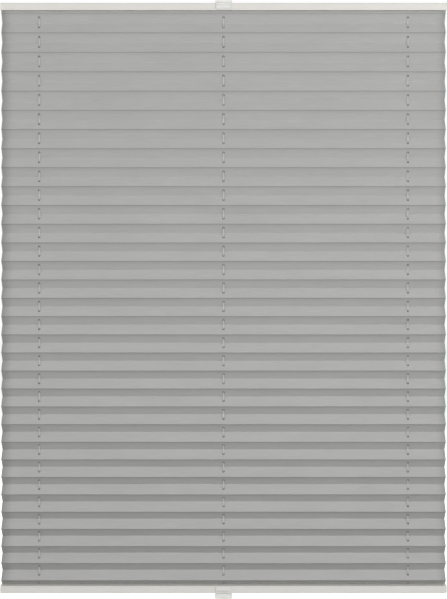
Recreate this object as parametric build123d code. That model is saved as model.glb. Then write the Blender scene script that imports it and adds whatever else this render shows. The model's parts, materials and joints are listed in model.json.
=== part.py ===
from build123d import *

import os
from math import atan2, degrees, hypot, sqrt

# A pleated blind held between tight cords: a folded cloth between two slim aluminium rails.
# Either rail slides along the three cords, and a clip-on handle at its middle moves it.
# Millimetres. +X runs along the rails to the right, the front faces -Y, and +Z is up.
# The origin is the middle of the top rail's top face, where the middle cord ends.

# ---------------------------------------------------------------- overall size
BLIND_WIDTH = 750.0  # over the end caps
BLIND_DROP = 991.0  # from the top rail's top face to the bottom rail's underside

# ---------------------------------------------------------------- rails
RAIL_DEPTH = 24.0
RAIL_HEIGHT = 12.3
RAIL_WALL = 1.2
RAIL_CORNER = 1.2
SLOT_WIDTH = 13.0  # opening along the fabric side
GROOVE_DEPTH = 0.5  # groove along the front and back, which the handle clips into
GROOVE_HEIGHT = 0.8
GROOVE_LEVEL = 2.1  # from the fabric side to the groove's middle
CORD_EXIT_RADIUS = 2.0  # hole in the outer wall, wide enough for a knot

# ---------------------------------------------------------------- end caps
CAP_COLLAR = 7.5  # the part of a cap that shows
CAP_PLUG = 14.0  # the part inside the rail
CAP_PLUG_WALL = 1.6
CAP_PLAY = 0.15
CAP_EDGE = 1.0
CAP_SEAM = 0.25  # bevel beside the rail, which leaves a fine line between cap and rail

# ---------------------------------------------------------------- fabric strips
STRIP_HEAD_WIDTH = 17.0
STRIP_HEAD_THICKNESS = 1.2
STRIP_PLAY = 0.2
STRIP_HOLE_RADIUS = 1.5

# ---------------------------------------------------------------- fabric
FABRIC_MARGIN = 1.0  # the fabric stops this far inside each end of the blind
FABRIC_THICKNESS = 0.35
FACET = 20.0  # width of the cloth between two folds
PITCH = 30.8  # about this much drop for each whole pleat
STRETCH = 0.151  # how much wider the top pleat opens than the bottom one, as a share
TOP_LEAD = 2.9  # from the top rail to the first front fold
BOTTOM_LEAD = 8.4  # from the last front fold to the bottom rail
GLUE_FLAP = 5.5  # cloth glued flat on a fabric strip
CORD_HOLE_RADIUS = 1.5

# ---------------------------------------------------------------- cords and what guides them
CORD_RADIUS = 0.5
CORD_OFFSET = 311.0  # from the middle cord to each side cord
CORD_PLAY = 0.3
KNOT_RADIUS = 1.2
KNOT_RECESS = 0.1
GUIDE_LENGTH = 16.0
GUIDE_PLAY = 0.2
GUIDE_GAP = 0.1  # between a guide and the fabric strip's head
GUIDE_FLOOR = 0.6
CHANNEL_DEPTH = 8.4  # room in each guide for the cords that cross
PIN_BITE = 1.8  # how deep a pin's end sits in each wall of its guide
PIN_PLAY = 0.02
PIN_TO_CORD = 0.05
PIN_HEADROOM = 0.85  # from the outer pins to the inside of the rail's outer wall
PIN_FOOTROOM = 0.45  # from the inner pins to the guide's underside
RUN_STEP = 1.4  # a crossing cord comes in this much nearer the outer wall than it goes out
CROSSING_OFFSET = 3.0  # the crossing cords pass the middle cord this far in front and behind
CROSSING_BEND = 2000.0

# ---------------------------------------------------------------- handles
HANDLE_CLIP_WIDTH = 25.0
HANDLE_TAB_WIDTH = 28.6
HANDLE_REACH = 13.8  # how far the tab stands past the rail
HANDLE_START = 0.5  # from the fabric side to the clip's edge
HANDLE_LIP = 0.9
HANDLE_BEVEL_END = 4.0
HANDLE_FACE = 2.9  # how far the clip's face stands in front of the rail
HANDLE_TAB_FORWARD = 6.6
HANDLE_TAB_THICKNESS = 1.7
HANDLE_TAB_CORNER = 8.0
HANDLE_SHOULDER = 1.6
HANDLE_GROOVE_RADIUS = 0.7
HANDLE_GROOVES = (8.4, 11.6)  # heights of the two grip grooves
HANDLE_HOOK_PLAY = 0.1
HANDLE_TAB_BOW = 0.9  # how far the tab has come forward halfway along
DISH_RADIUS = 15.0
DISH_DEPTH = 0.7

# ---------------------------------------------------------------- worked out from the above
RAIL_LENGTH = BLIND_WIDTH - 2 * CAP_COLLAR
FABRIC_WIDTH = BLIND_WIDTH - 2 * FABRIC_MARGIN
CAVITY_HALF_DEPTH = RAIL_DEPTH / 2 - RAIL_WALL
CAVITY_TOP = RAIL_HEIGHT - RAIL_WALL
STRIP_HEAD_TOP = RAIL_WALL + STRIP_HEAD_THICKNESS
GUIDE_BOTTOM = STRIP_HEAD_TOP + GUIDE_GAP
GUIDE_HEIGHT = CAVITY_TOP - GUIDE_BOTTOM
GUIDE_DEPTH = 2 * (CAVITY_HALF_DEPTH - GUIDE_PLAY)
CORD_COLUMNS = {"left": -CORD_OFFSET, "centre": 0.0, "right": CORD_OFFSET}
# The pins are as thick as the guide has room for, with both cords' runs between them.
RUN_ROOM = RUN_STEP + 2 * (CORD_RADIUS + PIN_TO_CORD)
PIN_RADIUS = (GUIDE_HEIGHT - PIN_HEADROOM - PIN_FOOTROOM - RUN_ROOM) / 4
PIN_OFFSET = CORD_RADIUS + CORD_PLAY + PIN_RADIUS
PIN_RISE = CORD_RADIUS + PIN_RADIUS + PIN_TO_CORD
PIN_LENGTH = CHANNEL_DEPTH + 2 * PIN_BITE
HIGH_PIN = CAVITY_TOP - PIN_HEADROOM - PIN_RADIUS
LOW_PIN = GUIDE_BOTTOM + PIN_FOOTROOM + PIN_RADIUS
HIGH_RUN = HIGH_PIN - PIN_RISE  # a crossing cord's middle where it comes in, from the fabric side
LOW_RUN = LOW_PIN + PIN_RISE  # the same where it goes out through the cloth
FABRIC_TOP = -RAIL_HEIGHT
FABRIC_BOTTOM = RAIL_HEIGHT - BLIND_DROP
PLEAT_SPAN = FABRIC_TOP - FABRIC_BOTTOM - TOP_LEAD - BOTTOM_LEAD
PLEATS = round(PLEAT_SPAN / PITCH)


# Rail parts are drawn once, in a rail's own frame: the fabric side lies at height 0 and the
# outer face at RAIL_HEIGHT. The top rail is that frame moved, and the bottom rail is it turned over.
TOP_PLACE = Pos(0, 0, FABRIC_TOP)
BOTTOM_PLACE = Pos(0, 0, FABRIC_BOTTOM) * Rot(0, 180, 0)


def bar_section(half_depth, low, high):
    """A rectangle of a depth-height section, centred in depth."""
    return Pos(0, (low + high) / 2) * Rectangle(2 * half_depth, high - low)


def along_x(section, length, middle=0.0):
    """A bar with the given depth-height section, lying along X."""
    return Pos(middle, 0, 0) * extrude(Plane.YZ * section, amount=length / 2, both=True)


def rail_outline():
    """The rounded outline that the rails and their caps share."""
    return Pos(0, RAIL_HEIGHT / 2) * RectangleRounded(RAIL_DEPTH, RAIL_HEIGHT, RAIL_CORNER)


def make_rail():
    """An extruded channel, open along its fabric side, with a hole in its outer wall for each cord."""
    section = rail_outline()
    section -= bar_section(CAVITY_HALF_DEPTH, RAIL_WALL, CAVITY_TOP)
    section -= bar_section(SLOT_WIDTH / 2, -RAIL_WALL, 2 * RAIL_WALL)
    for side in (-1, 1):
        groove = Rectangle(2 * GROOVE_DEPTH, GROOVE_HEIGHT)
        section -= Pos(side * RAIL_DEPTH / 2, GROOVE_LEVEL) * groove
    rail = along_x(section, RAIL_LENGTH)
    for x in CORD_COLUMNS.values():
        rail -= Pos(x, 0, RAIL_HEIGHT) * Cylinder(CORD_EXIT_RADIUS, 3 * RAIL_WALL)
    return rail


def make_end_cap(side):
    """A moulded cap: a collar as large as the rail, and a hollow plug that fills the rail's cavity."""
    collar = along_x(rail_outline(), CAP_COLLAR, (RAIL_LENGTH + CAP_COLLAR) / 2)
    collar = fillet(collar.faces().sort_by(Axis.X)[-1].edges(), CAP_EDGE)
    collar = chamfer(collar.faces().sort_by(Axis.X)[0].edges(), CAP_SEAM)
    low = STRIP_HEAD_TOP + CAP_PLAY
    high = CAVITY_TOP - CAP_PLAY
    half_depth = CAVITY_HALF_DEPTH - CAP_PLAY
    section = bar_section(half_depth, low, high)
    section -= bar_section(half_depth - CAP_PLUG_WALL, low + CAP_PLUG_WALL, high - CAP_PLUG_WALL)
    plug = along_x(section, CAP_PLUG, (RAIL_LENGTH - CAP_PLUG) / 2)
    cap = collar + plug
    return cap if side > 0 else Rot(0, 0, 180) * cap


def make_fabric_strip():
    """The strip that the cloth is glued to. Its head hangs on the rail's lips, and its foot fills the slot."""
    section = bar_section(STRIP_HEAD_WIDTH / 2, RAIL_WALL, STRIP_HEAD_TOP)
    section += bar_section(SLOT_WIDTH / 2 - STRIP_PLAY, 0, RAIL_WALL)
    strip = along_x(section, RAIL_LENGTH)
    for x in CORD_COLUMNS.values():
        strip -= Pos(x, 0, RAIL_WALL) * Cylinder(STRIP_HOLE_RADIUS, 4 * RAIL_WALL)
    return strip


def pin_places(x):
    """Where the two turning pins of the guide at x stand, as (x, height). The middle guide has none."""
    if x == 0:
        return []
    inward = x - PIN_OFFSET if x > 0 else x + PIN_OFFSET
    return [(inward, HIGH_PIN), (inward, LOW_PIN)]


def make_cord_guide(x):
    """A moulded block that keeps a cord in its column and lets the crossing cords through."""
    middle = GUIDE_BOTTOM + GUIDE_HEIGHT / 2
    guide = Pos(x, 0, middle) * Box(GUIDE_LENGTH, GUIDE_DEPTH, GUIDE_HEIGHT)
    channel = Box(2 * GUIDE_LENGTH, CHANNEL_DEPTH, GUIDE_HEIGHT - 2 * GUIDE_FLOOR)
    guide -= Pos(x, 0, middle) * channel
    guide -= Pos(x, 0, GUIDE_BOTTOM) * Cylinder(CORD_RADIUS + CORD_PLAY, 4 * GUIDE_FLOOR)
    guide -= Pos(x, 0, CAVITY_TOP) * Cylinder(CORD_EXIT_RADIUS, 4 * GUIDE_FLOOR)
    for pin_x, height in pin_places(x):
        hole = Cylinder(PIN_RADIUS + PIN_PLAY, PIN_LENGTH + 2 * PIN_PLAY)
        guide -= Pos(pin_x, 0, height) * Rot(90, 0, 0) * hole
    return guide


def make_guide_pins():
    """The steel pins that the cords turn round inside the side guides."""
    places = [place for x in CORD_COLUMNS.values() for place in pin_places(x)]
    return [Pos(x, 0, height) * Rot(90, 0, 0) * Cylinder(PIN_RADIUS, PIN_LENGTH) for x, height in places]


def make_crossing_cord(face):
    """A cord's run inside the rail, from one side's outer pin to the other side's inner pin."""
    end = CORD_OFFSET - PIN_OFFSET
    points = [
        (face * end, 0, HIGH_RUN),
        (0, face * CROSSING_OFFSET, (HIGH_RUN + LOW_RUN) / 2),
        (-face * end, 0, LOW_RUN),
    ]
    path = FilletPolyline(*points, radius=CROSSING_BEND)
    start = Plane(origin=path @ 0, z_dir=path % 0)
    return sweep(start * Circle(CORD_RADIUS), path=path)


def handle_section():
    """The handle's side profile: a bevelled clip on the rail's face, then a tab that curves forward."""
    outer = RAIL_HEIGHT + HANDLE_REACH
    tip_front = (-HANDLE_TAB_FORWARD, outer - HANDLE_TAB_THICKNESS / 2)
    tip_back = (HANDLE_TAB_THICKNESS - HANDLE_TAB_FORWARD, outer)
    root_front = (-HANDLE_FACE, RAIL_HEIGHT)
    root_back = (0, RAIL_HEIGHT - RAIL_CORNER)
    middle = -HANDLE_FACE - HANDLE_TAB_BOW
    front_middle = (middle, RAIL_HEIGHT + HANDLE_REACH / 2)
    back_middle = (middle + HANDLE_TAB_THICKNESS, RAIL_HEIGHT + HANDLE_REACH / 2)
    outline = [
        Line((0, HANDLE_START), (-HANDLE_LIP, HANDLE_START)),
        Line((-HANDLE_LIP, HANDLE_START), (-HANDLE_FACE, HANDLE_BEVEL_END)),
        Line((-HANDLE_FACE, HANDLE_BEVEL_END), root_front),
        ThreePointArc(root_front, front_middle, tip_front),
        Line(tip_front, tip_back),
        ThreePointArc(tip_back, back_middle, root_back),
        Line(root_back, (0, HANDLE_START)),
    ]
    section = make_face(outline)
    for height in HANDLE_GROOVES:
        section -= Pos(-HANDLE_FACE, height) * Circle(HANDLE_GROOVE_RADIUS)
    hook_depth = GROOVE_DEPTH - HANDLE_HOOK_PLAY
    hook = Rectangle(2 * hook_depth, GROOVE_HEIGHT - 2 * HANDLE_HOOK_PLAY)
    section += Pos(0, GROOVE_LEVEL) * hook
    return section


def handle_face():
    """The handle as seen from the front: a clip, and a wider tab with round corners."""
    outer = RAIL_HEIGHT + HANDLE_REACH
    clip = Pos(0, outer / 2) * Rectangle(HANDLE_CLIP_WIDTH, outer)
    tab_low = RAIL_HEIGHT - HANDLE_SHOULDER
    tab = Pos(0, (tab_low + outer) / 2) * Rectangle(HANDLE_TAB_WIDTH, outer - tab_low)
    corners = tab.vertices().group_by(Axis.Y)
    tab = fillet(corners[-1], HANDLE_TAB_CORNER)
    tab = fillet(tab.vertices().group_by(Axis.Y)[0], HANDLE_SHOULDER)
    return clip + tab


def make_handle():
    """A moulded handle that clips on the front of a rail, with a shallow dish for a fingertip."""
    side = along_x(handle_section(), 2 * HANDLE_TAB_WIDTH)
    front = extrude(Plane.XZ * handle_face(), amount=RAIL_DEPTH, both=True)
    handle = side & front
    dish_height = RAIL_HEIGHT + HANDLE_REACH / 2
    dish_forward = HANDLE_FACE + HANDLE_TAB_BOW - DISH_DEPTH + DISH_RADIUS
    handle -= Pos(0, -dish_forward, dish_height) * Sphere(DISH_RADIUS)
    return Pos(0, -RAIL_DEPTH / 2, 0) * handle


def make_cord(x):
    """A straight cord through both rails, knotted at each end."""
    cord = Pos(x, 0, -BLIND_DROP / 2) * Cylinder(CORD_RADIUS, BLIND_DROP - 2 * KNOT_RADIUS)
    knot = KNOT_RADIUS + KNOT_RECESS
    for z in (-knot, knot - BLIND_DROP):
        cord += Pos(x, 0, z) * Sphere(KNOT_RADIUS)
    return cord


def fold_points():
    """The folds from top to bottom as (depth, height): front, back, front and so on."""
    mean = PLEAT_SPAN / PLEATS / 2
    folds = 2 * PLEATS
    drops = [mean * (1 + STRETCH * (0.5 - (k + 0.5) / folds)) for k in range(folds)]
    points = []
    height = FABRIC_TOP - TOP_LEAD
    for k in range(folds + 1):
        above = drops[max(k - 1, 0)]
        below = drops[min(k, folds - 1)]
        reach = sqrt(FACET**2 - ((above + below) / 2) ** 2) / 2
        points.append((-reach if k % 2 == 0 else reach, height))
        height -= below
    return points


def offset_line(points, distance):
    """The line through the points, moved sideways, with its corners mitred."""
    normals = []
    for (y0, z0), (y1, z1) in zip(points, points[1:]):
        length = hypot(y1 - y0, z1 - z0)
        normals.append(((z0 - z1) / length, (y1 - y0) / length))
    before = [normals[0]] + normals
    after = normals + [normals[-1]]
    moved = []
    for (y, z), (y_before, z_before), (y_after, z_after) in zip(points, before, after):
        mitre = distance / (1 + y_before * y_after + z_before * z_after)
        moved.append((y + mitre * (y_before + y_after), z + mitre * (z_before + z_after)))
    return moved


def make_fabric():
    """The pleated cloth, one sheet from strip to strip, punched in every facet for each cord."""
    half = FABRIC_THICKNESS / 2
    folds = fold_points()
    line = [(GLUE_FLAP, FABRIC_TOP - half), (0, FABRIC_TOP - half)]
    line += folds
    line += [(0, FABRIC_BOTTOM + half), (GLUE_FLAP, FABRIC_BOTTOM + half)]
    outline = offset_line(line, half) + offset_line(line, -half)[::-1]
    section = make_face(Polyline(*outline, close=True))
    cloth = along_x(section, FABRIC_WIDTH)
    punches = []
    for x in CORD_COLUMNS.values():
        for (y0, z0), (y1, z1) in zip(folds, folds[1:]):
            tilt = degrees(atan2(z1 - z0, y1 - y0))
            middle = Pos(x, (y0 + y1) / 2, (z0 + z1) / 2)
            punches.append(middle * Rot(tilt, 0, 0) * Cylinder(CORD_HOLE_RADIUS, 8 * FABRIC_THICKNESS))
        for z in (FABRIC_TOP - half, FABRIC_BOTTOM + half):
            punches.append(Pos(x, 0, z) * Cylinder(CORD_HOLE_RADIUS, 12 * FABRIC_THICKNESS))
    return cloth - punches


def rail_nodes(prefix, place):
    """Every piece that rides on one rail, by node name."""
    nodes = {
        "rail": make_rail(),
        "fabric_strip": make_fabric_strip(),
        "handle": make_handle(),
        "guide_pins": make_guide_pins(),
        "crossing_cord_front": make_crossing_cord(-1),
        "crossing_cord_rear": make_crossing_cord(1),
    }
    turned = place is BOTTOM_PLACE
    for name, x in CORD_COLUMNS.items():
        nodes[f"cord_guide_{name}"] = make_cord_guide(-x if turned else x)
    for name, side in (("left", -1), ("right", 1)):
        nodes[f"end_cap_{name}"] = make_end_cap(-side if turned else side)
    placed = {}
    for name, piece in nodes.items():
        solids = piece if isinstance(piece, list) else [piece]
        placed[f"{prefix}_{name}"] = [place * solid for solid in solids]
    return placed


def main():
    """Builds every node and writes it to its own file."""
    nodes = {"pleated_fabric": [make_fabric()]}
    for name, x in CORD_COLUMNS.items():
        nodes[f"cord_{name}"] = [make_cord(x)]
    nodes.update(rail_nodes("top", TOP_PLACE))
    nodes.update(rail_nodes("bottom", BOTTOM_PLACE))
    os.makedirs("parts", exist_ok=True)
    for name, pieces in nodes.items():
        solids = [solid for piece in pieces for solid in piece.solids()]
        export_step(Compound(children=solids) if len(solids) > 1 else solids[0], f"parts/{name}.step")


main()
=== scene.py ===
"""The looks of a pleated blind: a folded cloth between two slim rails that slide along three tight cords."""

import json
import logging
import math
from dataclasses import dataclass
from enum import Enum
from typing import Callable, Mapping, Optional, Sequence, Union

import bpy
from bpy.types import Material, Node, NodeSocket, NodeTree, Object
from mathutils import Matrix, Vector, noise

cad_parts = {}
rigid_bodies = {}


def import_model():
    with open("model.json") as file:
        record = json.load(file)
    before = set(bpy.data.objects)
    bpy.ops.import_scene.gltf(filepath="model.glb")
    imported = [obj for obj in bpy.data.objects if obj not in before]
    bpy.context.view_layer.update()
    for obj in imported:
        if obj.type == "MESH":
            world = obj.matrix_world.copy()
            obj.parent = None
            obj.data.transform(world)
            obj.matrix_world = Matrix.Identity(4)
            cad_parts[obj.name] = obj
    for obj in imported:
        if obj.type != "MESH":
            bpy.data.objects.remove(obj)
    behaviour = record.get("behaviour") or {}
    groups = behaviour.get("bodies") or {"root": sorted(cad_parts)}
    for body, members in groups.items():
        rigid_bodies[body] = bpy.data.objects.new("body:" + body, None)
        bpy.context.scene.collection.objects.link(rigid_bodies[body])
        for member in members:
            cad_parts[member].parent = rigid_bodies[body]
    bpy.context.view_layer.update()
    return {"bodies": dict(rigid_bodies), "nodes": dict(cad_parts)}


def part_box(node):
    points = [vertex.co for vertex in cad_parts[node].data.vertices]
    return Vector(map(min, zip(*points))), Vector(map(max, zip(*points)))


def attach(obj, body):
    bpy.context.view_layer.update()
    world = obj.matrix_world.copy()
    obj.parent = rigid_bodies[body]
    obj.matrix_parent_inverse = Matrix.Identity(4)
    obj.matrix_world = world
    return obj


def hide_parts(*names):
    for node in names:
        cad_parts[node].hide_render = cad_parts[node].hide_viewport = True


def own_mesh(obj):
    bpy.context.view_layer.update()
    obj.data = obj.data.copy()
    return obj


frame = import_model()

LOG = logging.getLogger("pleated_blind")
MM = 0.001
# The Wave Texture multiplies its scaled coordinate by this before it takes the sine.
WAVE_RATE = 20
GRAIN_DETAIL = 2.0
WHITE = "#FFFFFF"
SIDES = ("left", "centre", "right")
# The highest value of t * (1 - t)**2 is one over this, a third of the way along.
BOW_PEAK = 27 / 4

Setting = Union[float, int, str, bool, Sequence[float]]
Key = Union[str, int]
Place = Sequence[float]
Face = Sequence[int]
Fold = tuple[float, float]
Range = tuple[float, float]


class Body(Enum):
    """The moving bodies of the blind."""

    WINDOW_CORDS = "window_cords"
    TOP_RAIL = "top_rail"
    BOTTOM_RAIL = "bottom_rail"


class Slot(Enum):
    """The finishes that the record names."""

    PLEAT_CLOTH = "pleat_cloth"
    CORD_BRAID = "cord_braid"
    RAIL_COAT = "rail_coat"
    CAP_PLASTIC = "cap_plastic"
    STRIP_PLASTIC = "strip_plastic"
    HANDLE_PLASTIC = "handle_plastic"
    GUIDE_PLASTIC = "guide_plastic"
    PIN_STEEL = "pin_steel"


class RailPlace(Enum):
    """Which rail a piece belongs to, and which way the rail's outer face looks."""

    TOP = 1
    BOTTOM = -1

    @property
    def prefix(self) -> str:
        """The word that the rail's piece names start with."""
        return self.name.lower()

    @property
    def body(self) -> Body:
        """The body that the rail's pieces move with."""
        return Body.TOP_RAIL if self is RailPlace.TOP else Body.BOTTOM_RAIL

    @property
    def fabric_side(self) -> float:
        """The height of the rail's side that the cloth meets, in metres."""
        low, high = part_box(f"{self.prefix}_rail")
        return low.z if self is RailPlace.TOP else high.z


# ---------------------------------------------------------------- materials


def to_linear(hex_colour: str) -> tuple[float, float, float, float]:
    """Turns an sRGB hex colour into linear light.

    Args:
        hex_colour: The colour as "#RRGGBB".

    Returns:
        Linear red, green, blue and an alpha of 1.
    """
    channels = [int(hex_colour[i : i + 2], 16) / 255 for i in (1, 3, 5)]
    linear = [c / 12.92 if c <= 0.04045 else ((c + 0.055) / 1.055) ** 2.4 for c in channels]
    return (linear[0], linear[1], linear[2], 1.0)


def add_node(
    tree: NodeTree,
    kind: str,
    settings: Optional[Mapping[Key, Setting]] = None,
    links: Optional[Mapping[Key, NodeSocket]] = None,
) -> Node:
    """Adds a node with its settings and links.

    Args:
        tree: The node tree that gets the node.
        kind: The node's type, without its "ShaderNode" start.
        settings: Values for the node's own properties and for its unlinked inputs.
        links: The output that feeds each linked input.

    Returns:
        The new node.
    """
    node = tree.nodes.new(f"ShaderNode{kind}")
    for key, value in (settings or {}).items():
        if isinstance(key, str) and key not in node.inputs:
            setattr(node, key, value)
        else:
            node.inputs[key].default_value = value
    for key, output in (links or {}).items():
        tree.links.new(output, node.inputs[key])
    return node


def new_surface(name: str) -> tuple[Material, NodeTree, Node]:
    """Starts a material with one shader.

    Args:
        name: The material's name.

    Returns:
        The material, its node tree and its shader node.
    """
    material = bpy.data.materials.new(name)
    material.use_nodes = True
    tree = material.node_tree
    return material, tree, tree.nodes["Principled BSDF"]


def band_scale(spacing: float) -> float:
    """The Wave Texture scale that repeats once in a spacing in metres."""
    return 2 * math.pi / WAVE_RATE / spacing


def grain(tree: NodeTree, place: NodeSocket, size: Sequence[float]) -> NodeSocket:
    """Uneven grains of a given size.

    Args:
        tree: The material's node tree.
        place: Where on the piece, in metres.
        size: The grain's size along each axis, in metres.

    Returns:
        A value from 0 to 1, about 0.5 on average.
    """
    scaled = add_node(tree, "VectorMath", {"operation": "MULTIPLY", 1: [1 / s for s in size]}, {0: place})
    spots = add_node(
        tree, "TexNoise", {"Scale": 1.0, "Detail": GRAIN_DETAIL}, {"Vector": scaled.outputs["Vector"]}
    )
    return spots.outputs["Fac"]


def threads(tree: NodeTree, place: NodeSocket, across: str, spacing: float, wander: float) -> NodeSocket:
    """Parallel threads that wander a little.

    Args:
        tree: The material's node tree.
        place: Where on the piece, in metres.
        across: The axis that the threads follow each other along.
        spacing: From thread to thread, in metres.
        wander: How far they stray from straight lines.

    Returns:
        A value from 0 between threads to 1 on their crowns.
    """
    wave = add_node(
        tree,
        "TexWave",
        {"bands_direction": across, "Scale": band_scale(spacing), "Distortion": wander},
        {"Vector": place},
    )
    return wave.outputs["Fac"]


def add_share(tree: NodeTree, part: NodeSocket, share: float, whole: NodeSocket) -> NodeSocket:
    """The whole plus a share of the part."""
    total = add_node(tree, "Math", {"operation": "MULTIPLY_ADD", 1: share}, {0: part, 2: whole})
    return total.outputs[0]


def stained(tree: NodeTree, colour: NodeSocket, point_value: str, stain: str) -> NodeSocket:
    """A colour that goes over to a hex colour where the mesh's point value is 1."""
    factor = add_node(tree, "Attribute", {"attribute_name": point_value}).outputs["Fac"]
    mix = add_node(tree, "Mix", {"data_type": "RGBA", 7: to_linear(stain)}, {0: factor, 6: colour})
    return mix.outputs[2]


def remap(tree: NodeTree, value: NodeSocket, source: Range, target: Range) -> NodeSocket:
    """A value stretched from one range to another."""
    ends = {"From Min": source[0], "From Max": source[1], "To Min": target[0], "To Max": target[1]}
    return add_node(tree, "MapRange", ends, {"Value": value}).outputs[0]


def emboss(tree: NodeTree, shader: Node, height: NodeSocket, strength: float, depth: float) -> None:
    """Gives a shader the relief of a height pattern, as deep as given in metres."""
    bump = add_node(tree, "Bump", {"Strength": strength, "Distance": depth}, {"Height": height})
    tree.links.new(bump.outputs["Normal"], shader.inputs["Normal"])


def set_inputs(shader: Node, values: Mapping[str, Setting]) -> None:
    """Sets a shader's unlinked inputs by name."""
    for name, value in values.items():
        shader.inputs[name].default_value = value


def shade_between(
    tree: NodeTree, factor: NodeSocket, low: Sequence[float], high: Sequence[float]
) -> NodeSocket:
    """A colour that varies from one to another.

    Args:
        tree: The material's node tree.
        factor: 0 gives the low colour and 1 the high one.
        low: Linear colour.
        high: Linear colour.

    Returns:
        The colour's output.
    """
    mix = add_node(tree, "Mix", {"data_type": "RGBA", 6: low, 7: high}, {0: factor})
    return mix.outputs[2]


@dataclass(frozen=True)
class WovenPolyester:
    """Polyester, plain-woven and pleated with heat: matte grey, with fine lines along the folds."""

    light_yarn: str = "#B4B4B3"
    dark_yarn: str = "#A3A3A2"
    # Painted shade: the grey that the cloth goes over to just below each fold.
    painted_fold_shade: str = "#929291"
    # Painted shade round each cord slot, as dark as the shade inside a hole.
    painted_hole_shade: str = "#1F1F1E"
    # A real weft thread is about 0.25 mm. It is drawn three times as coarse, so that it shows.
    weft_spacing: float = 0.75 * MM
    warp_spacing: float = 1.1 * MM
    slub_length: float = 30 * MM
    cloud_size: tuple[float, float, float] = (120 * MM, 30 * MM, 1.0)
    thread_relief: float = 0.05 * MM
    relief_strength: float = 0.5
    weft_wander: float = 0.6
    warp_wander: float = 0.4
    warp_share: float = 0.3
    cloud_share: float = 0.4
    weave_share: float = 0.12
    # The tone that is all dark yarn, and the one that is all light yarn.
    tone_range: Range = (0.38, 1.18)
    roughness: float = 0.85
    specular: float = 0.25
    sheen: float = 0.08
    sheen_roughness: float = 0.5

    def build(self) -> Material:
        """Makes the cloth's material. It reads the cloth's own flat coordinates, in metres."""
        material, tree, shader = new_surface("woven_polyester")
        flat = add_node(tree, "UVMap", {"uv_map": "cloth"}).outputs["UV"]
        slubs = grain(tree, flat, (self.slub_length, self.weft_spacing, 1.0))
        clouds = grain(tree, flat, self.cloud_size)
        weft = threads(tree, flat, "Y", self.weft_spacing, self.weft_wander)
        warp = threads(tree, flat, "X", self.warp_spacing, self.warp_wander)
        weave = add_share(tree, warp, self.warp_share, weft)
        tone = add_share(tree, clouds, self.cloud_share, slubs)
        tone = add_share(tree, weave, self.weave_share, tone)
        tone = remap(tree, tone, self.tone_range, (0.0, 1.0))
        yarn = shade_between(tree, tone, to_linear(self.dark_yarn), to_linear(self.light_yarn))
        # Painted shade just below each fold, where the crease shades the cloth.
        yarn = stained(tree, yarn, "crease", self.painted_fold_shade)
        # Painted shade round each cord slot, where the hole shows dark.
        tree.links.new(stained(tree, yarn, "punch", self.painted_hole_shade), shader.inputs["Base Color"])
        emboss(tree, shader, weave, self.relief_strength, self.thread_relief)
        look = {"Roughness": self.roughness, "Specular IOR Level": self.specular}
        look |= {"Sheen Weight": self.sheen, "Sheen Roughness": self.sheen_roughness}
        set_inputs(shader, look)
        return material


@dataclass(frozen=True)
class BraidedPolyester:
    """Polyester cord, braided from eight thin yarns. To the eye: pale grey with a slight silky shine."""

    crown: str = "#D6D6D3"
    # Painted shade: the colour of the hollows between the yarns.
    gap: str = "#A0A09E"
    roughness: float = 0.6
    sheen: float = 0.2

    def build(self) -> Material:
        """Makes the cord's material, with painted shade in the hollows between the yarns. The mesh carries
        how high each point lies on the braid.
        """
        material, tree, shader = new_surface("braided_polyester")
        height = add_node(tree, "Attribute", {"attribute_name": "braid"}).outputs["Fac"]
        colour = shade_between(tree, height, to_linear(self.gap), to_linear(self.crown))
        tree.links.new(colour, shader.inputs["Base Color"])
        set_inputs(shader, {"Roughness": self.roughness, "Sheen Weight": self.sheen})
        return material


@dataclass(frozen=True)
class GrainySurface:
    """A painted or moulded surface with fine relief, the common ground of the rails' hard finishes."""

    name: str
    colour: str
    shade: str
    roughness: float
    roughness_spread: float = 0.06
    ior: float = 1.5
    metallic: float = 0.0
    grain_size: tuple[float, float, float] = (1.2 * MM, 1.2 * MM, 1.2 * MM)
    relief: float = 0.02 * MM
    relief_strength: float = 0.6
    # How many times as large as the grain the slow changes of colour are.
    broad_ratio: float = 30
    # The grain's lowest and highest values in practice.
    grain_range: Range = (0.3, 0.7)

    def build(self) -> Material:
        """Makes the material. Its patterns lie in the piece's own space, in metres."""
        material, tree, shader = new_surface(self.name)
        place = add_node(tree, "TexCoord").outputs["Object"]
        fine = grain(tree, place, self.grain_size)
        broad = grain(tree, place, [self.broad_ratio * s for s in self.grain_size])
        colour = shade_between(tree, broad, to_linear(self.shade), to_linear(self.colour))
        tree.links.new(colour, shader.inputs["Base Color"])
        shiny, dull = self.roughness - self.roughness_spread, self.roughness + self.roughness_spread
        gloss = remap(tree, fine, self.grain_range, (shiny, dull))
        tree.links.new(gloss, shader.inputs["Roughness"])
        emboss(tree, shader, fine, self.relief_strength, self.relief)
        set_inputs(shader, {"Metallic": self.metallic} if self.metallic else {"IOR": self.ior})
        return material


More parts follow.
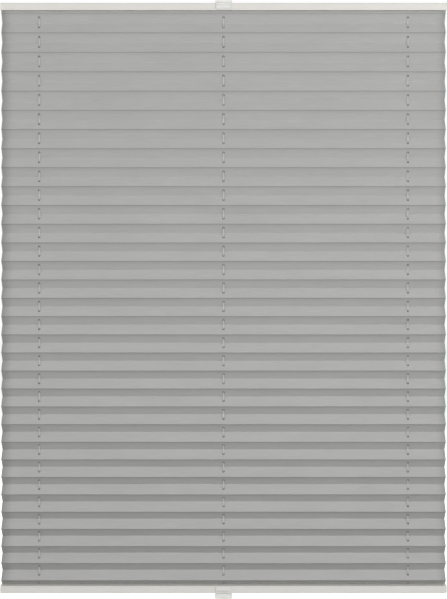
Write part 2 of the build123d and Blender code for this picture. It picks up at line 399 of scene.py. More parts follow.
RAIL_FINISHES = {
    # Powder coat on extruded aluminium: off-white, with the soft orange peel that the baked powder leaves.
    Slot.RAIL_COAT: GrainySurface("powder_coated_aluminium", "#D4D2CD", "#CECCC7", 0.42, relief=0.03 * MM),
    # ABS, moulded in a lightly spark-eroded tool: a little duller than the coat beside it.
    Slot.CAP_PLASTIC: GrainySurface(
        "moulded_abs", "#D4D2CB", "#CECCC5", 0.5, ior=1.53, grain_size=(0.5 * MM,) * 3
    ),
    # PVC, extruded: faint lines along the strip.
    Slot.STRIP_PLASTIC: GrainySurface(
        "extruded_pvc", "#CFCDC6", "#C8C6BF", 0.55, ior=1.53, grain_size=(40 * MM, 0.6 * MM, 0.6 * MM)
    ),
    # Nylon, moulded: natural white, dull.
    Slot.GUIDE_PLASTIC: GrainySurface(
        "moulded_nylon", "#E4E3DE", "#DDDCD6", 0.45, ior=1.53, grain_size=(0.6 * MM,) * 3
    ),
    # Steel, drawn to a pin: bright, with fine lines along the pin.
    Slot.PIN_STEEL: GrainySurface(
        "drawn_steel",
        "#BFC0C2",
        "#AEAFB2",
        0.3,
        metallic=1.0,
        grain_size=(0.08 * MM, 3 * MM, 0.08 * MM),
        relief=0.003 * MM,
    ),
}
# Polypropylene, moulded in a polished tool: a little whiter than the coat, with a soft shine.
HANDLE_POLYPROPYLENE = GrainySurface(
    "moulded_polypropylene",
    "#DADAD7",
    "#D4D4D1",
    0.32,
    ior=1.49,
    grain_size=(0.8 * MM,) * 3,
    relief=0.008 * MM,
)
# Wall paint on a smooth floor, matte.
FLOOR_PAINT = GrainySurface("white_floor_paint", "#F2F2F1", "#EFEFEE", 0.7, grain_size=(4 * MM,) * 3)


def dress(obj: Object, material: Material) -> None:
    """Gives a piece one material."""
    obj.data.materials.clear()
    obj.data.materials.append(material)


# ---------------------------------------------------------------- meshes


def new_piece(name: str, points: Sequence[Place], faces: Sequence[Face], smooth: bool = True) -> Object:
    """Makes a mesh piece in the blind's frame.

    Args:
        name: The piece's name.
        points: Its points, in metres.
        faces: The points of each face, anticlockwise from outside.
        smooth: Whether its faces are shaded as one round surface.

    Returns:
        The new object, in the scene.
    """
    mesh = bpy.data.meshes.new(name)
    mesh.from_pydata([tuple(p) for p in points], [], [tuple(f) for f in faces])
    mesh.polygons.foreach_set("use_smooth", [smooth] * len(mesh.polygons))
    mesh.update()
    obj = bpy.data.objects.new(name, mesh)
    bpy.context.scene.collection.objects.link(obj)
    return obj


def add_point_value(obj: Object, name: str, values: Sequence[float]) -> None:
    """Stores a value on each point of a piece, for its material to read."""
    attribute = obj.data.attributes.new(name, "FLOAT", "POINT")
    attribute.data.foreach_set("value", list(values))


@dataclass
class SectionPoint:
    """A point of the cloth's cross-section.

    Args:
        along: How far it lies from the cloth's upper edge, along the cloth.
        y: Depth.
        z: Height.
        normal_y: Depth part of the direction that the cloth's front looks in.
        normal_z: Height part of that direction.
        crease: How strongly painted shade darkens the cloth just below the fold above: 1 just below a
            front fold, and -1 just below a back one.
    """

    along: float
    y: float
    z: float
    normal_y: float
    normal_z: float
    crease: float


@dataclass
class PleatedCloth:
    """The pleated cloth, one sheet from the top rail's strip to the bottom rail's strip, in metres."""

    facet: float = 20 * MM
    pleats: int = 31
    # The pleats open less and less from top to bottom, by this share in all.
    stretch: float = 0.151
    # How far the first and last folds lie below and above the cloth's ends.
    top_lead: float = 2.9 * MM
    bottom_lead: float = 8.4 * MM
    # The glued flaps lie level, from this depth at the back to a depth of their own in front.
    glue_flap: float = 5.5 * MM
    top_flap_front: float = -4.0 * MM
    bottom_flap_front: float = 2.0 * MM
    thickness: float = 0.35 * MM
    fold_radius: float = 0.45 * MM
    # How far a fold's middle is pulled in from the sharp corner, by its radius and its turn.
    fold_pull: float = 0.24
    # How far below a fold its painted shade line fades out, and how dark the painted shade is at the fold's
    # middle.
    crease_reach: float = 2.2 * MM
    crease_at_fold: float = 0.5
    bow: float = 0.5 * MM
    # Where the section has points on a facet: from its ends, from its start, and as a share of it.
    fold_step: float = 0.5 * MM
    bow_stops: tuple[float, ...] = (1.3 * MM, 3.0 * MM, 5.0 * MM)
    bow_last_stop: float = 0.8
    unevenness: float = 0.22 * MM
    # The waves of the unevenness: rate across, rate per facet down, place in the noise and share.
    depth_waves: tuple[tuple[float, ...], ...] = ((7, 0.9, 3.1, 1.0), (23, 1.3, 8.4, 0.5))
    height_waves: tuple[tuple[float, ...], ...] = ((6, 0.8, 15.7, 1.0), (19, 1.0, 27.2, 0.4))
    # The unevenness grows over this many facets from a strip, and over this length from a cord.
    sway_facets: float = 2
    cord_hold: float = 40 * MM
    # Each slot's rings from outside in: half width, half length and how much painted shade darkens the cloth
    # there.
    slot_rings: tuple[tuple[float, float, float], ...] = (
        (1.95 * MM, 2.2 * MM, 0.0),
        (1.6 * MM, 1.85 * MM, 1.0),
        (0.62 * MM, 1.0 * MM, 1.0),
    )
    # Each slot has a patch of its own in the mesh.
    patch_half_width: float = 2.6 * MM
    patch_half_length: float = 2.9 * MM
    # Other rows and columns closer to a slot's middle than this many half patches are left out.
    row_room: float = 1.01
    column_room: float = 3
    column_step: float = 20 * MM
    joint_travel: float = 0.9
    ring: int = 16
    halvings: int = 40

    def __post_init__(self) -> None:
        """Reads where the cloth hangs from the frame and works out its section."""
        low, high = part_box("pleated_fabric")
        self.left, self.right = low.x, high.x
        self.bottom, self.top = low.z, high.z
        self.cords = [sum(p.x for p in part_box(f"cord_{side}")) / 2 for side in SIDES]
        self.section, self.punches = self.make_section()

    def folds(self) -> list[Fold]:
        """The folds from top to bottom as (depth, height): front, back, front and so on."""
        span = self.top - self.bottom - self.top_lead - self.bottom_lead
        count = 2 * self.pleats
        mean = span / count
        drops = [mean * (1 + self.stretch * (0.5 - (k + 0.5) / count)) for k in range(count)]
        points = []
        height = self.top - self.top_lead
        for k in range(count + 1):
            above, below = drops[max(k - 1, 0)], drops[min(k, count - 1)]
            reach = math.sqrt(self.facet**2 - ((above + below) / 2) ** 2) / 2
            points.append((-reach if k % 2 == 0 else reach, height))
            height -= below
        return points

    def between(self, upper: Fold, lower: Fold, s: float, bowed: bool) -> Fold:
        """The cloth's place between two folds.

        Args:
            upper: The upper fold's depth and height.
            lower: The lower fold's.
            s: How far the place lies from the upper fold.
            bowed: Whether the cloth bows upward there, most of all a third of the way down.

        Returns:
            Depth and height.
        """
        length = math.dist(upper, lower)
        dy, dz = (lower[0] - upper[0]) / length, (lower[1] - upper[1]) / length
        lift = 0.0
        if bowed:
            lift = math.copysign(self.bow * BOW_PEAK * (s / length) * (1 - s / length) ** 2, dy)
        return upper[0] + dy * s - dz * lift, upper[1] + dz * s + dy * lift

    def cord_crossing(self, upper: Fold, lower: Fold, bowed: bool) -> float:
        """How far from the upper fold the cords pass through the cloth between two folds."""
        low, high = 0.0, math.dist(upper, lower)
        for _ in range(self.halvings):
            middle = (low + high) / 2
            if self.between(upper, lower, middle, bowed)[0] * upper[0] > 0:
                low = middle
            else:
                high = middle
        return high

    def make_section(self) -> tuple[list[SectionPoint], list[float]]:
        """The cross-section, round at folds and slightly bowed between them, and where cords cross it."""
        half = self.thickness / 2
        corners = [(self.glue_flap, self.top - half), (self.top_flap_front, self.top - half)]
        corners += self.folds()
        corners += [(self.bottom_flap_front, self.bottom + half), (self.glue_flap, self.bottom + half)]
        line: list[Fold] = []
        creases: list[float] = []
        marks: list[int] = []
        for k, (upper, lower) in enumerate(zip(corners, corners[1:])):
            length = math.dist(upper, lower)
            bowed = 2 <= k < len(corners) - 3
            start = self.fold_radius if k else 0.0
            end = length - self.fold_radius if k + 2 < len(corners) else length
            stops = {start, start + self.fold_step, end - self.fold_step, end}
            if bowed:
                stops |= {start + stop for stop in self.bow_stops} | {self.bow_last_stop * length}
            crossing = self.cord_crossing(upper, lower, bowed) if upper[0] * lower[0] < 0 else -1.0
            if crossing > 0:
                stops.add(crossing)
            for s in sorted(stops):
                if s == crossing:
                    marks.append(len(line))
                line.append(self.between(upper, lower, s, bowed))
                # Painted shade below the fold, fading out over crease_reach.
                shade_below_fold = max(0.0, 1 - (s - start) / self.crease_reach)
                creases.append(math.copysign(shade_below_fold, -upper[0]) if k > 1 else 0.0)
            if k + 2 < len(corners):
                after = corners[k + 2]
                beyond = math.dist(lower, after)
                turn_y = (lower[0] - upper[0]) / length - (after[0] - lower[0]) / beyond
                turn_z = (lower[1] - upper[1]) / length - (after[1] - lower[1]) / beyond
                pull = self.fold_pull * self.fold_radius
                line.append((lower[0] - turn_y * pull, lower[1] - turn_z * pull))
                creases.append(math.copysign(self.crease_at_fold, -lower[0]))
        section, along = [], 0.0
        for i, (y, z) in enumerate(line):
            if i:
                along += math.dist(line[i - 1], (y, z))
            before, after = line[max(i - 1, 0)], line[min(i + 1, len(line) - 1)]
            dy, dz = after[0] - before[0], after[1] - before[1]
            size = math.hypot(dy, dz)
            section.append(SectionPoint(along, y, z, dz / size, -dy / size, creases[i]))
        return section, [section[i].along for i in marks]

    def at(self, along: float) -> SectionPoint:
        """The point of the section at a distance along the cloth."""
        low, high = 0, len(self.section) - 1
        while high - low > 1:
            middle = (low + high) // 2
            if self.section[middle].along <= along:
                low = middle
            else:
                high = middle
        a, b = self.section[low], self.section[high]
        t = (along - a.along) / (b.along - a.along)
        mixed = [
            getattr(a, part) + (getattr(b, part) - getattr(a, part)) * t
            for part in ("y", "z", "normal_y", "normal_z", "crease")
        ]
        return SectionPoint(along, *mixed)

    def sway(self, x: float, along: float) -> tuple[float, float]:
        """How far the cloth lies off its even shape: depth and height. It is nothing at the strips."""
        length = self.section[-1].along
        flap = self.glue_flap - self.top_flap_front
        from_strip = min(along - flap, length - along)
        fade = min(1.0, max(0.0, from_strip) / (self.sway_facets * self.facet))
        pleat = along / self.facet
        depth, height = (
            sum(
                share * noise.noise(Vector((x * across, pleat * down, place)))
                for across, down, place, share in waves
            )
            for waves in (self.depth_waves, self.height_waves)
        )
        return fade * self.unevenness * depth, fade * self.unevenness * height

    def offset(self, x: float, along: float) -> tuple[SectionPoint, float, float]:
        """The section's point and the sway at a place. A cord holds the cloth, so it has no depth there."""
        depth, height = self.sway(x, along)
        near = min(abs(x - cord) for cord in self.cords)
        return self.at(along), depth * min(1.0, near / self.cord_hold), height

    def rows(self) -> list[float]:
        """Where the mesh's rows lie along the cloth, with three through each line of punched slots."""
        length = self.patch_half_length
        room = length * self.row_room
        kept = [p.along for p in self.section if all(not 0 < abs(p.along - m) < room for m in self.punches)]
        kept += [m + side * length for m in self.punches for side in (-1, 1)]
        return sorted(kept)

    def columns(self) -> list[float]:
        """Where the mesh's columns lie across the cloth, with three through each line of punched slots."""
        count = round((self.right - self.left) / self.column_step)
        even = [self.left + (self.right - self.left) * k / count for k in range(count + 1)]
        room = self.column_room * self.patch_half_width
        kept = [x for x in even if all(abs(x - cord) > room for cord in self.cords)]
        kept += [cord + side * self.patch_half_width for cord in self.cords for side in (-1, 0, 1)]
        return sorted(kept)

    def build(self) -> Object:
        """Makes the cloth as one closed sheet whose upper end follows the top rail.

        Returns:
            The cloth.
        """
        rows, columns = self.rows(), self.columns()
        punch_rows = [min(range(len(rows)), key=lambda i: abs(rows[i] - m)) for m in self.punches]
        cord_columns = [min(range(len(columns)), key=lambda j: abs(columns[j] - c)) for c in self.cords]
        centres = {(i, j) for i in punch_rows for j in cord_columns}
        places: list[tuple[float, float, float]] = []
        index: dict[tuple[int, int], int] = {}
        for i, along in enumerate(rows):
            for j, x in enumerate(columns):
                if (i, j) not in centres:
                    index[i, j] = len(places)
                    places.append((x, along, 0.0))
        faces: list[Face] = []
        for i in range(len(rows) - 1):
            for j in range(len(columns) - 1):
                corners = [(i, j), (i + 1, j), (i + 1, j + 1), (i, j + 1)]
                if not centres.intersection(corners):
                    faces.append([index[c] for c in corners])
        for i, j in sorted(centres):
            self.add_slot(i, j, rows[i], columns[j], index, places, faces)
        front, back, creases = [], [], []
        for x, along, _ in places:
            point, depth, height = self.offset(x, along)
            creases.append(point.crease)
            for layer, side in ((front, 0.5), (back, -0.5)):
                out = side * self.thickness
                y, z = point.y + depth, point.z + height
                layer.append((x, y + point.normal_y * out, z + point.normal_z * out))
        cloth = new_piece("pleated_cloth", front + back, both_layers(faces, len(places)))
        self.lay_flat_coordinates(cloth, places)
        # How much painted shade each point gets round the slots.
        add_point_value(cloth, "punch", [hole_shade for _, _, hole_shade in places] * 2)
        # The front gets painted shade below front folds, the back gets it below back folds.
        add_point_value(cloth, "crease", [max(0.0, side * c) for side in (1, -1) for c in creases])
        dress(cloth, WovenPolyester().build())
        self.hang(cloth)
        return cloth

    def add_slot(
        self,
        i: int,
        j: int,
        along: float,
        x: float,
        index: Mapping[tuple[int, int], int],
        places: list[tuple[float, float, float]],
        faces: list[Face],
    ) -> None:
        """Adds the ring of faces round one punched slot.

        Args:
            i: The row through the slot's middle.
            j: The column through the slot's middle.
            along: The slot's place along the cloth.
            x: The slot's place across the cloth.
            index: The mesh point of each row and column.
            places: The cloth's points, which the slot's own join.
            faces: The cloth's faces, which the slot's own join.
        """
        steps = [(0, 1), (-1, 1), (-1, 0), (-1, -1), (0, -1), (1, -1), (1, 0), (1, 1)]
        outer = [index[i + down, j + right] for down, right in steps]
        rings = []
        for half_width, half_length, hole_shade in self.slot_rings:
            rings.append(range(len(places), len(places) + self.ring))
            for k in range(self.ring):
                turn = 2 * math.pi * k / self.ring
                places.append((x + half_width * math.cos(turn), along - half_length * math.sin(turn), hole_shade))
        first = rings[0]
        for k in range(len(outer)):
            here, following = 2 * k, (2 * k + 2) % self.ring
            faces.append((outer[k], outer[(k + 1) % len(outer)], first[following], first[here + 1]))
            faces.append((outer[k], first[here + 1], first[here]))
        for wide, narrow in zip(rings, rings[1:]):
            for k in range(self.ring):
                after = (k + 1) % self.ring
                faces.append((wide[k], wide[after], narrow[after], narrow[k]))

    def lay_flat_coordinates(self, cloth: Object, places: Sequence[Place]) -> None:
        """Stores where each point lies on the flat cloth, in metres, for the weave to follow."""
        layer = cloth.data.uv_layers.new(name="cloth")
        spots = [0.0] * (2 * len(cloth.data.loops))
        for k, loop in enumerate(cloth.data.loops):
            x, along, _ = places[loop.vertex_index % len(places)]
            spots[2 * k], spots[2 * k + 1] = x - self.left, along
        layer.data.foreach_set("uv", spots)

    def hang(self, cloth: Object) -> None:
        """Lets the cloth's upper end follow the top rail, by a share that grows from nothing at its lower
        end; the rest moves with the cords' body.
        """
        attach(cloth, Body.WINDOW_CORDS.value)
        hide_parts("pleated_fabric")
        height = self.top - self.bottom
        share_of_top = cloth.vertex_groups.new(name="share_of_top_rail")
        for vertex in cloth.data.vertices:
            share = (vertex.co.z - self.bottom) / height
            share_of_top.add([vertex.index], min(1.0, max(0.0, share)), "REPLACE")
        follow = cloth.modifiers.new("follow_top_rail", "HOOK")
        follow.object = frame["bodies"][Body.TOP_RAIL.value]
        follow.vertex_group = share_of_top.name
        follow.falloff_type = "NONE"
        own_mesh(cloth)


def both_layers(faces: Sequence[Face], count: int) -> list[tuple[int, ...]]:
    """Closes a sheet: its front faces, the same faces behind them, and a rim along every free edge.

    Args:
        faces: The front faces, anticlockwise from in front.
        count: How many points the front has. The back's points follow them in the same order.

    Returns:
        The faces of the closed sheet.
    """
    closed = [tuple(f) for f in faces]
    closed += [tuple(v + count for v in reversed(f)) for f in faces]
    edges = {(f[k], f[(k + 1) % len(f)]) for f in faces for k in range(len(f))}
    closed += [(b, a, a + count, b + count) for a, b in sorted(edges) if (b, a) not in edges]
    return closed


@dataclass
class TightCord:
    """One braided cord through both rails, with a knot at each end, in metres."""

    side: str
    radius: float = 0.5 * MM
    knot_radius: float = 1.2 * MM
    knot_strand: float = 0.42 * MM
    braid_pitch: float = 4 * MM
    yarns: int = 4
    relief: float = 0.07 * MM
    ring: int = 12
    step: float = 1.0 * MM
    knot_steps: int = 48
    # How light the braid shows where it is pulled into a knot, and how much the painted shade between its
    # yarns changes that.
    knot_shade: float = 0.6
    knot_shade_swing: float = 0.4
    # A tube whose direction is this close to upright gets its sides from any level direction.
    upright: float = 0.99

    def build(self) -> Object:
        """Makes the cord and its two knots as one piece.

        Returns:
            The cord.
        """
        low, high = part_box(f"cord_{self.side}")
        x, y = (low.x + high.x) / 2, (low.y + high.y) / 2
        points: list[Place] = []
        faces: list[Face] = []
        heights: list[float] = []
        top, bottom = high.z - self.knot_radius, low.z + self.knot_radius
        count = round((top - bottom) / self.step)
        line = [Vector((x, y, bottom + (top - bottom) * k / count)) for k in range(count + 1)]
        self.add_tube(line, self.braided, points, faces, heights, closed=False)
        for z in (bottom, top):
            self.add_tube(self.knot_line(Vector((x, y, z))), self.plain, points, faces, heights, closed=True)
        cord = new_piece(f"braided_cord_{self.side}", points, faces)
        add_point_value(cord, "braid", heights)
        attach(cord, Body.WINDOW_CORDS.value)
        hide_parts(f"cord_{self.side}")
        return cord

    def braided(self, along: float, turn: float) -> tuple[float, float]:
        """The cord's radius and the braid's height at a place: two sets of yarns wind opposite ways."""
        wind = 2 * math.pi * along / self.braid_pitch
        height = max(abs(math.cos((self.yarns * turn + way * wind) / 2)) for way in (1, -1))
        return self.radius - self.relief * (1 - height), height**2

    def plain(self, along: float, turn: float) -> tuple[float, float]:
        """The radius of the cord where it is pulled into a knot."""
        return self.knot_strand, self.knot_shade + self.knot_shade_swing * math.cos(self.yarns * turn)

    def knot_line(self, middle: Vector) -> list[Vector]:
        """The line of a pulled overhand knot, closed on itself."""
        size = (self.knot_radius - self.knot_strand) / 3
        line = []
        for k in range(self.knot_steps):
            t = 2 * math.pi * k / self.knot_steps
            x = math.sin(t) + 2 * math.sin(2 * t)
            y = math.cos(t) - 2 * math.cos(2 * t)
            line.append(middle + size * Vector((x, y, -2 * math.sin(3 * t))))
        return line

    def add_tube(
        self,
        line: Sequence[Vector],
        shape: Callable[[float, float], tuple[float, float]],
        points: list[Place],
        faces: list[Face],
        heights: list[float],
        closed: bool,
    ) -> None:
        """Adds a tube along a line.

        Args:
            line: The points of the tube's middle.
            shape: Gives the radius and the braid's height at a distance along the tube and a turn
                about it.
            points: The piece's points, which the tube's join.
            faces: The piece's faces, which the tube's join.
            heights: The braid's height at each point, which the tube's join.
            closed: Whether the line comes back to its start.
        """
        first = len(points)
        along = 0.0
        for k, middle in enumerate(line):
            before = line[k - 1] if closed or k else middle
            after = line[(k + 1) % len(line)] if closed or k + 1 < len(line) else middle
            ahead = (after - before).normalized()
            aside = ahead.orthogonal() if abs(ahead.z) > self.upright else ahead.cross(Vector((0, 0, 1)))
            aside.normalize()
            beside = ahead.cross(aside)
            along += (middle - line[k - 1]).length if k else 0.0
            for side in range(self.ring):
                turn = 2 * math.pi * side / self.ring
                radius, height = shape(along, turn)
                points.append(middle + radius * (math.cos(turn) * aside + math.sin(turn) * beside))
                heights.append(height)
        rings = len(line) if closed else len(line) - 1
        for k in range(rings):
            here, there = first + k * self.ring, first + (k + 1) % len(line) * self.ring
            for side in range(self.ring):
                after = (side + 1) % self.ring
                faces.append((here + side, here + after, there + after, there + side))
        if not closed:
            last = first + (len(line) - 1) * self.ring
            faces.append(tuple(first + side for side in reversed(range(self.ring))))
            faces.append(tuple(last + side for side in range(self.ring)))


@dataclass
class ClipHandle:
    """The handle at a rail's middle, in mm: a clip on the rail's front and a tab that curves forward.

    Heights run outwards from the rail's fabric side, and the front's and back's places forward from
    the rail's face.
    """

    rail: RailPlace
    rail_height: float = 12.3
    rail_corner: float = 1.2
    clip_half_width: float = 12.5
    tab_half_width: float = 14.3
    reach: float = 13.8
    start: float = 0.5
    lip: float = 0.2
    bevel_end: float = 4.0
    face: float = 2.9
    tab_forward: float = 6.6
    tab_thickness: float = 1.7
    tab_corner: float = 8.0
    tab_bow: float = 0.9
    shoulder: float = 1.6
    grooves: tuple[float, float] = (7.8, 11.2)
    groove_half_width: float = 0.8
    groove_wall: float = 0.15
    groove_depth: float = 2.4
    smile: float = 1.8
    dish_radius: float = 15.0
    dish_depth: float = 0.7
    edge: float = 0.5
    hook: tuple[float, float] = (1.8, 2.4)
    hook_depth: float = 0.4
    edge_places: tuple[float, ...] = (0.0, 0.06, 0.15, 0.28, 0.42, 0.6, 1.0, 1.7)
    # The mesh's rows and columns, and the least distance between two rows.
    row_step: float = 0.6
    shoulder_step: float = 0.2
    shoulder_rows: int = 8
    tab_rows: int = 12
    corner_rows: int = 24
    side_columns: int = 12
    hook_wall: float = 0.01
    least_step: float = 0.004
    # Edges that turn by more than this many degrees are drawn sharp.
    sharp_turn: float = 40

    @property
    def outer(self) -> float:
        """The height of the tab's end, from the rail's fabric side."""
        return self.rail_height + self.reach

    def half_width(self, height: float) -> float:
        """Half the handle's width at a height."""
        low = self.rail_height - self.shoulder
        if height < low:
            return self.clip_half_width
        if height < self.rail_height:
            rise = self.shoulder - (height - low)
            swell = self.tab_half_width - self.shoulder + math.sqrt(self.shoulder**2 - rise**2)
            return max(self.clip_half_width, swell)
        past = height - (self.outer - self.tab_corner)
        if past > 0:
            return self.tab_half_width - self.tab_corner + math.sqrt(max(0.0, self.tab_corner**2 - past**2))
        return self.tab_half_width

    def from_edge(self, x: float, height: float) -> float:
        """How far a place on the handle's face lies from its edge."""
        past = height - (self.outer - self.tab_corner)
        beside = abs(x) - (self.tab_half_width - self.tab_corner)
        if past > 0 and beside > 0:
            return max(0.0, self.tab_corner - math.hypot(past, beside))
        return max(0.0, min(self.half_width(height) - abs(x), self.outer - height, height - self.start))

    def rounding(self, x: float, height: float) -> float:
        """How far the surface falls back near the edge, which is rounded."""
        short = self.edge - self.from_edge(x, height)
        return self.edge - math.sqrt(self.edge**2 - short**2) if short > 0 else 0.0

    def front(self, x: float, height: float) -> float:
        """How far the front stands before the rail's face."""
        if height < self.bevel_end:
            rise = (height - self.start) / (self.bevel_end - self.start)
            forward = self.lip + (self.face - self.lip) * rise
        elif height < self.rail_height:
            forward = self.face
        else:
            middle = (self.reach / 2, self.face + self.tab_bow)
            tab = ((0.0, self.face), middle, (self.reach, self.tab_forward))
            forward = through(tab, height - self.rail_height)
        for groove in self.grooves:
            inside = (self.groove_half_width - abs(height - groove)) / self.groove_wall
            forward -= self.groove_depth * min(1.0, max(0.0, inside))
        away = math.hypot(x, height - self.rail_height - self.reach / 2)
        if away < self.dish_radius:
            dish = self.dish_radius - math.sqrt(self.dish_radius**2 - away**2) - self.dish_depth
            forward = min(forward, self.face + self.tab_bow + dish)
        return forward - self.rounding(x, height)

    def back(self, x: float, height: float) -> float:
        """How far the back stands before the rail's face, with the hook that sits in the rail's groove."""
        root = self.rail_height - self.rail_corner
        if height > root:
            half, full = root + (self.reach + self.rail_corner) / 2, root + self.reach + self.rail_corner
            near = self.face + self.tab_bow - self.tab_thickness
            tab = ((root, 0.0), (half, near), (full, self.tab_forward - self.tab_thickness))
            return through(tab, height) + self.rounding(x, height)
        return -self.hook_depth if self.hook[0] < height < self.hook[1] else 0.0

    def raised(self, x: float, height: float) -> float:
        """How far the handle's sides curve up at a height, so that the outer groove bends like a smile."""
        low, high = self.grooves
        fade = (height - low) / (high - low) if height < high else (self.outer - height) / (self.outer - high)
        return self.smile * (x / self.tab_half_width) ** 2 * max(0.0, fade)

    def heights(self) -> list[float]:
        """Where the mesh's rows lie, close together at edges, grooves and the tab's round corners."""
        found = {self.start + e for e in self.edge_places}
        clip_rows = round((self.rail_height - self.start) / self.row_step)
        found |= {self.start + self.row_step * k for k in range(clip_rows + 1)}
        for middle in self.grooves:
            floor = self.groove_half_width - self.groove_wall
            found |= {middle + side * wide for wide in (self.groove_half_width, floor) for side in (-1, 1)}
        for end in self.hook:
            found |= {end - self.hook_wall, end + self.hook_wall}
        found |= {self.bevel_end, self.rail_height - self.shoulder, self.rail_height - self.rail_corner}
        shoulder = self.rail_height - self.shoulder
        found |= {shoulder + self.shoulder_step * k for k in range(self.shoulder_rows)}
        straight = self.reach - self.tab_corner
        found |= {self.rail_height + straight * k / self.tab_rows for k in range(self.tab_rows + 1)}
        for k in range(self.corner_rows + 1):
            turn = math.pi * k / (2 * self.corner_rows)
            found.add(self.outer - self.tab_corner * (1 - math.sin(turn)))
        ordered = sorted(found)
        return [h for k, h in enumerate(ordered) if k == 0 or h - ordered[k - 1] > self.least_step]

    def fractions(self) -> list[float]:
        """Where the mesh's columns lie, as shares of the half width, close together at the sides."""
        sides = [1 - e / self.tab_half_width for e in self.edge_places]
        inner = [k / self.side_columns for k in range(self.side_columns - 1)]
        positive = sorted(set(sides + inner))
        return [-p for p in reversed(positive) if p] + positive

    def build(self) -> Object:
        """Makes the handle as one closed moulding on its rail.

        Returns:
            The handle.
        """
        rail_low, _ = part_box(f"{self.rail.prefix}_rail")
        fabric_side = self.rail.fabric_side
        heights, fractions = self.heights(), self.fractions()
        front, back = [], []
        for height in heights:
            for fraction in fractions:
                x = fraction * self.half_width(height)
                z = fabric_side + self.rail.value * (height + self.raised(x, height)) * MM
                front.append((x * MM, rail_low.y - self.front(x, height) * MM, z))
                back.append((x * MM, rail_low.y - self.back(x, height) * MM, z))
        wide = len(fractions)
        faces = []
        for i in range(len(heights) - 1):
            for j in range(wide - 1):
                near, far = i * wide + j, (i + 1) * wide + j
                face = (near, near + 1, far + 1, far)
                faces.append(face if self.rail is RailPlace.TOP else tuple(reversed(face)))
        name = f"{self.rail.prefix}_clip_handle"
        handle = new_piece(name, front + back, both_layers(faces, len(front)))
        handle.data.set_sharp_from_angle(angle=math.radians(self.sharp_turn))
        dress(handle, HANDLE_POLYPROPYLENE.build())
        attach(handle, self.rail.body.value)
        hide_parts(f"{self.rail.prefix}_handle")
        return handle


def through(points: Sequence[tuple[float, float]], place: float) -> float:
    """The value at a place on the parabola through three points."""
    total = 0.0
    for i, (xi, yi) in enumerate(points):
        share = yi
        for j, (xj, _) in enumerate(points):
            if j != i:
                share *= (place - xj) / (xi - xj)
        total += share
    return total


@dataclass
class SlidingRail:
    """One rail with its caps, strip, guides and crossing cords, shaped by the construction model."""

    rail: RailPlace
    finishes: Mapping[Slot, Material]

    def pieces(self) -> dict[str, Slot]:
        """The rail's pieces by name, with the finish that each has."""
        found = {"rail": Slot.RAIL_COAT, "fabric_strip": Slot.STRIP_PLASTIC, "guide_pins": Slot.PIN_STEEL}
        found |= {f"end_cap_{side}": Slot.CAP_PLASTIC for side in ("left", "right")}
        found |= {f"cord_guide_{side}": Slot.GUIDE_PLASTIC for side in SIDES}
        found |= {f"crossing_cord_{side}": Slot.CORD_BRAID for side in ("front", "rear")}
        return found

    def build(self) -> list[Object]:
        """Dresses the rail's pieces.

        Returns:
            The dressed pieces.
        """
        dressed = []
        for name, slot in self.pieces().items():
            piece = frame["nodes"][f"{self.rail.prefix}_{name}"]
            dress(piece, self.finishes[slot])
            dressed.append(piece)
        return dressed


@dataclass(frozen=True)
class SoftBox:
    """A square studio light with a cloth front, in metres and watts."""

    name: str
    place: tuple[float, float, float]
    size: float
    power: float
    target: tuple[float, float, float] = (0.0, 0.0, -0.5)

    def build(self) -> None:
        """Makes the light and turns it to its target."""
        lamp = bpy.data.lights.new(self.name, "AREA")
        lamp.shape = "SQUARE"
        lamp.size = self.size
        lamp.energy = self.power
        light = bpy.data.objects.new(self.name, lamp)
        bpy.context.scene.collection.objects.link(light)
        light.location = self.place
        ahead = Vector(self.target) - Vector(self.place)
        light.rotation_euler = ahead.to_track_quat("-Z", "Y").to_euler()


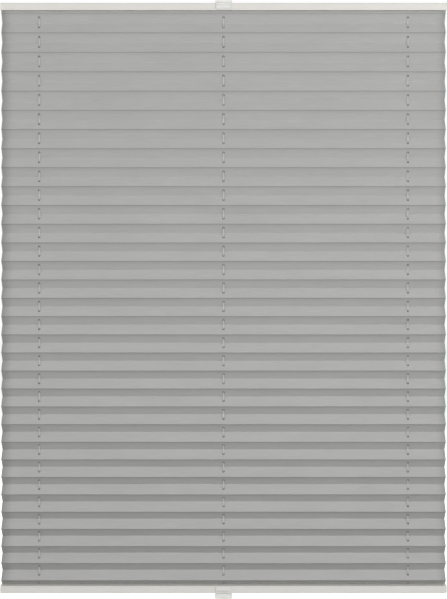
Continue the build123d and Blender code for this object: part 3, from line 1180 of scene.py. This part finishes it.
@dataclass
class Studio:
    """The floor, the lights and the camera. Heights are from the top rail's top face, in metres."""

    floor_height: float = -1.13
    floor_size: float = 14.0
    floor_glow: float = 0.75
    # How strongly the surround shows, and how strongly it lights.
    surround_shown: float = 1.0
    surround: float = 0.2
    camera_distance: float = 2.25
    camera_height: float = -0.387
    lens: float = 80.14
    shift: float = -0.1103
    lights: tuple[SoftBox, ...] = (
        SoftBox("key_left", (-1.3, -1.8, 0.0), 0.6, 17.9),
        SoftBox("key_right", (1.3, -1.8, 0.0), 0.6, 24.6),
        SoftBox("fill_front", (0.2, -2.9, -0.4), 1.2, 19.6),
        SoftBox("back_left", (-1.6, 1.9, 0.1), 0.8, 22.0),
        SoftBox("back_right", (1.6, 1.9, 0.1), 0.8, 22.0),
    )

    def build(self) -> None:
        """Makes the floor, the surround, the lights and the camera."""
        bpy.context.scene.view_settings.view_transform = "Standard"
        self.make_floor()
        self.make_surround()
        for light in self.lights:
            light.build()
        self.make_camera()

    def make_floor(self) -> None:
        """A plain white floor that glows. It doesn't light the blind, so the pleats keep their shade."""
        half = self.floor_size / 2
        corners = [(-half, -half), (half, -half), (half, half), (-half, half)]
        points = [(x, y, self.floor_height) for x, y in corners]
        floor = new_piece("floor", points, [(0, 1, 2, 3)], smooth=False)
        paint = FLOOR_PAINT.build()
        shader = paint.node_tree.nodes["Principled BSDF"]
        set_inputs(shader, {"Emission Color": to_linear(WHITE), "Emission Strength": self.floor_glow})
        dress(floor, paint)
        floor.visible_diffuse = False

    def make_surround(self) -> None:
        """A white surround that lights the blind less than it shows, as a far white wall would."""
        world = bpy.data.worlds.new("white_surround")
        world.use_nodes = True
        bpy.context.scene.world = world
        tree = world.node_tree
        lighting, shown = (
            add_node(tree, "Background", {"Color": to_linear(WHITE), "Strength": strength}).outputs[0]
            for strength in (self.surround, self.surround_shown)
        )
        seen = add_node(tree, "LightPath").outputs["Is Camera Ray"]
        mixed = add_node(tree, "MixShader", None, {0: seen, 1: lighting, 2: shown})
        tree.links.new(mixed.outputs["Shader"], tree.nodes["World Output"].inputs["Surface"])

    def make_camera(self) -> None:
        """A level camera straight in front, a little above the blind's middle."""
        lens = bpy.data.cameras.new("front_camera")
        lens.lens = self.lens
        lens.shift_y = self.shift
        camera = bpy.data.objects.new("front_camera", lens)
        bpy.context.scene.collection.objects.link(camera)
        camera.location = (0.0, -self.camera_distance, self.camera_height)
        camera.rotation_euler = (math.pi / 2, 0.0, 0.0)
        bpy.context.scene.camera = camera


def main() -> None:
    """Builds the blind piece by piece, then the studio round it."""
    logging.basicConfig(level=logging.INFO, format="%(message)s")
    cloth = PleatedCloth().build()
    LOG.info("%s: %d faces", cloth.name, len(cloth.data.polygons))
    braid = BraidedPolyester().build()
    for side in SIDES:
        cord = TightCord(side).build()
        dress(cord, braid)
        LOG.info("%s: %d faces", cord.name, len(cord.data.polygons))
    finishes = {slot: surface.build() for slot, surface in RAIL_FINISHES.items()}
    finishes[Slot.CORD_BRAID] = braid
    for rail in RailPlace:
        for piece in SlidingRail(rail, finishes).build():
            LOG.info("%s: dressed", piece.name)
        handle = ClipHandle(rail).build()
        LOG.info("%s: %d faces", handle.name, len(handle.data.polygons))
    Studio().build()


if __name__ == "__main__":
    main()
